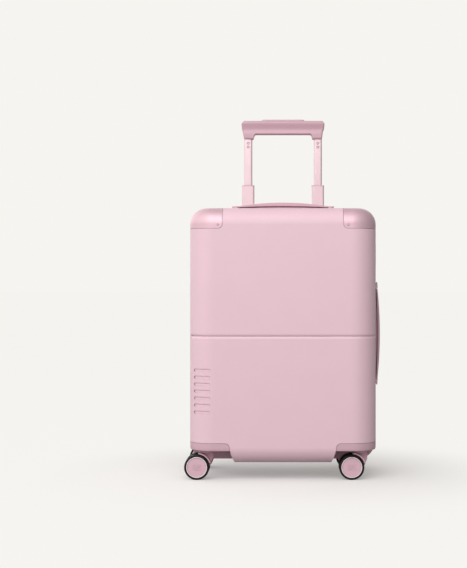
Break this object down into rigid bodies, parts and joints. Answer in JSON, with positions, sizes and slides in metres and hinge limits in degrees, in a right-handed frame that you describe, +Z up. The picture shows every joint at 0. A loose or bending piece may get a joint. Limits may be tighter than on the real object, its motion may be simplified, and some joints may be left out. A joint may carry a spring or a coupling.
{
  "type": "hard shell suitcase on wheels",
  "caption": "Upright hard-shell cabin case that opens like a book, with swivelling twin-wheel casters, a telescopic trolley handle and lifting carry handles.",
  "frame": {"origin": "on the floor under the middle of the body", "axes": "+Z up, the front face towards -Y, the trolley at the back (+Y), the side handle towards +X; the halves part at y = 0"},
  "size_m": [0.3888, 0.2364, 0.7249],
  "materials": {
    "shell_plastic": "satin polycarbonate",
    "guard_metal": "satin anodised or painted metal",
    "housing_plastic": "satin moulded plastic",
    "rivet_metal": "painted rivet heads",
    "zipper_tape": "woven zipper tape",
    "lining_cloth": "woven polyester lining",
    "strap_webbing": "woven webbing",
    "trolley_tube": "anodised pink aluminium",
    "trim_plastic": "moulded plastic",
    "grip_plastic": "soft satin plastic",
    "button_plastic": "satin plastic button",
    "dial_metal": "painted metal dial",
    "lock_plastic": "moulded plastic",
    "slider_metal": "painted zinc casting",
    "fork_plastic": "moulded nylon",
    "pin_steel": "zinc plated",
    "hub_plastic": "satin disc with a bright rim",
    "tyre_rubber": "black polyurethane"
  },
  "bodies": {
    "back_half": {"back_shell": "shell_plastic", "back_left_top_guard": "guard_metal", "back_right_top_guard": "guard_metal", "back_left_wheel_housing": "housing_plastic", "back_right_wheel_housing": "housing_plastic", "back_rivets": "rivet_metal", "back_zipper_tape": "zipper_tape", "back_lining": "lining_cloth", "compression_straps": "strap_webbing", "trolley_outer_tubes": "trolley_tube", "trolley_bezel": "trim_plastic", "carry_handle_bases": "trim_plastic", "lock_housing": "lock_plastic"},
    "front_half": {"front_shell": "shell_plastic", "front_left_top_guard": "guard_metal", "front_right_top_guard": "guard_metal", "front_left_wheel_housing": "housing_plastic", "front_right_wheel_housing": "housing_plastic", "front_rivets": "rivet_metal", "front_zipper_tape": "zipper_tape", "front_lining": "lining_cloth", "divider_panel": "lining_cloth"},
    "trolley_middle": {"trolley_middle_tubes": "trolley_tube", "trolley_collars": "trim_plastic"},
    "trolley_upper": {"trolley_inner_tubes": "trolley_tube", "trolley_rivets": "rivet_metal", "trolley_grip": "grip_plastic"},
    "trolley_button": {"trolley_button": "button_plastic"},
    "top_handle": {"top_handle_strap": "grip_plastic"},
    "side_handle": {"side_handle_strap": "grip_plastic"},
    "lock_dial_1": {"lock_dial_1": "dial_metal"},
    "lock_dial_2": {"lock_dial_2": "dial_metal"},
    "lock_dial_3": {"lock_dial_3": "dial_metal"},
    "lock_button": {"lock_button": "lock_plastic"},
    "zipper_slider_upper": {"zipper_slider_upper": "slider_metal"},
    "zipper_slider_lower": {"zipper_slider_lower": "slider_metal"},
    "front_left_caster": {"front_left_caster_fork": "fork_plastic", "front_left_caster_pins": "pin_steel"},
    "front_left_outer_wheel": {"front_left_outer_hub": "hub_plastic", "front_left_outer_tyre": "tyre_rubber"},
    "front_left_inner_wheel": {"front_left_inner_hub": "hub_plastic", "front_left_inner_tyre": "tyre_rubber"},
    "front_right_caster": {"front_right_caster_fork": "fork_plastic", "front_right_caster_pins": "pin_steel"},
    "front_right_outer_wheel": {"front_right_outer_hub": "hub_plastic", "front_right_outer_tyre": "tyre_rubber"},
    "front_right_inner_wheel": {"front_right_inner_hub": "hub_plastic", "front_right_inner_tyre": "tyre_rubber"},
    "back_left_caster": {"back_left_caster_fork": "fork_plastic", "back_left_caster_pins": "pin_steel"},
    "back_left_outer_wheel": {"back_left_outer_hub": "hub_plastic", "back_left_outer_tyre": "tyre_rubber"},
    "back_left_inner_wheel": {"back_left_inner_hub": "hub_plastic", "back_left_inner_tyre": "tyre_rubber"},
    "back_right_caster": {"back_right_caster_fork": "fork_plastic", "back_right_caster_pins": "pin_steel"},
    "back_right_outer_wheel": {"back_right_outer_hub": "hub_plastic", "back_right_outer_tyre": "tyre_rubber"},
    "back_right_inner_wheel": {"back_right_inner_hub": "hub_plastic", "back_right_inner_tyre": "tyre_rubber"}
  },
  "joints": [
    {"name": "case_opening", "type": "hinge", "parent": "back_half", "child": "front_half", "pos_m": [-0.1835, 0, 0.2815], "axis": [0, 0, -1], "range_deg": [0, 155]},
    {"name": "trolley_lower_slide", "type": "slide", "parent": "back_half", "child": "trolley_middle", "axis": [0, 0, 1], "range_m": [-0.092, 0.153]},
    {"name": "trolley_upper_slide", "type": "slide", "parent": "trolley_middle", "child": "trolley_upper", "axis": [0, 0, 1], "range_m": [-0.095, 0.15]},
    {"name": "trolley_button_press", "type": "slide", "parent": "trolley_upper", "child": "trolley_button", "axis": [0, 0, 1], "range_m": [-0.0035, 0], "stiffness_N_per_m": 300, "springref_m": 0.003},
    {"name": "top_handle_lift", "type": "slide", "parent": "back_half", "child": "top_handle", "axis": [0, 0, 1], "range_m": [0, 0.016], "stiffness_N_per_m": 80, "springref_m": -0.01},
    {"name": "side_handle_lift", "type": "slide", "parent": "back_half", "child": "side_handle", "axis": [1, 0, 0], "range_m": [0, 0.016], "stiffness_N_per_m": 80, "springref_m": -0.01},
    {"name": "lock_dial_1_turn", "type": "hinge", "parent": "back_half", "child": "lock_dial_1", "pos_m": [0.1772, 0.02, 0.424], "axis": [0, 0, 1], "continuous": true},
    {"name": "lock_dial_2_turn", "type": "hinge", "parent": "back_half", "child": "lock_dial_2", "pos_m": [0.1772, 0.02, 0.433], "axis": [0, 0, 1], "continuous": true},
    {"name": "lock_dial_3_turn", "type": "hinge", "parent": "back_half", "child": "lock_dial_3", "pos_m": [0.1772, 0.02, 0.442], "axis": [0, 0, 1], "continuous": true},
    {"name": "lock_button_press", "type": "slide", "parent": "back_half", "child": "lock_button", "axis": [1, 0, 0], "range_m": [-0.0015, 0], "stiffness_N_per_m": 300, "springref_m": 0.003},
    {"name": "upper_zipper_run", "type": "slide", "parent": "back_half", "child": "zipper_slider_upper", "axis": [0, 0, 1], "range_m": [0, 0.026]},
    {"name": "lower_zipper_run", "type": "slide", "parent": "back_half", "child": "zipper_slider_lower", "axis": [0, 0, -1], "range_m": [0, 0.33]},
    {"name": "front_left_swivel", "type": "hinge", "parent": "front_half", "child": "front_left_caster", "pos_m": [-0.151, -0.0815, 0.0565], "axis": [0, 0, 1], "continuous": true},
    {"name": "front_left_outer_roll", "type": "hinge", "parent": "front_left_caster", "child": "front_left_outer_wheel", "pos_m": [-0.168, -0.0815, 0.0245], "axis": [0, 1, 0], "continuous": true},
    {"name": "front_left_inner_roll", "type": "hinge", "parent": "front_left_caster", "child": "front_left_inner_wheel", "pos_m": [-0.168, -0.0815, 0.0245], "axis": [0, 1, 0], "continuous": true},
    {"name": "front_right_swivel", "type": "hinge", "parent": "front_half", "child": "front_right_caster", "pos_m": [0.151, -0.0815, 0.0565], "axis": [0, 0, 1], "continuous": true},
    {"name": "front_right_outer_roll", "type": "hinge", "parent": "front_right_caster", "child": "front_right_outer_wheel", "pos_m": [0.134, -0.0815, 0.0245], "axis": [0, 1, 0], "continuous": true},
    {"name": "front_right_inner_roll", "type": "hinge", "parent": "front_right_caster", "child": "front_right_inner_wheel", "pos_m": [0.134, -0.0815, 0.0245], "axis": [0, 1, 0], "continuous": true},
    {"name": "back_left_swivel", "type": "hinge", "parent": "back_half", "child": "back_left_caster", "pos_m": [-0.151, 0.0815, 0.0565], "axis": [0, 0, 1], "continuous": true},
    {"name": "back_left_outer_roll", "type": "hinge", "parent": "back_left_caster", "child": "back_left_outer_wheel", "pos_m": [-0.168, 0.0815, 0.0245], "axis": [0, 1, 0], "continuous": true},
    {"name": "back_left_inner_roll", "type": "hinge", "parent": "back_left_caster", "child": "back_left_inner_wheel", "pos_m": [-0.168, 0.0815, 0.0245], "axis": [0, 1, 0], "continuous": true},
    {"name": "back_right_swivel", "type": "hinge", "parent": "back_half", "child": "back_right_caster", "pos_m": [0.151, 0.0815, 0.0565], "axis": [0, 0, 1], "continuous": true},
    {"name": "back_right_outer_roll", "type": "hinge", "parent": "back_right_caster", "child": "back_right_outer_wheel", "pos_m": [0.134, 0.0815, 0.0245], "axis": [0, 1, 0], "continuous": true},
    {"name": "back_right_inner_roll", "type": "hinge", "parent": "back_right_caster", "child": "back_right_inner_wheel", "pos_m": [0.134, 0.0815, 0.0245], "axis": [0, 1, 0], "continuous": true}
  ]
}
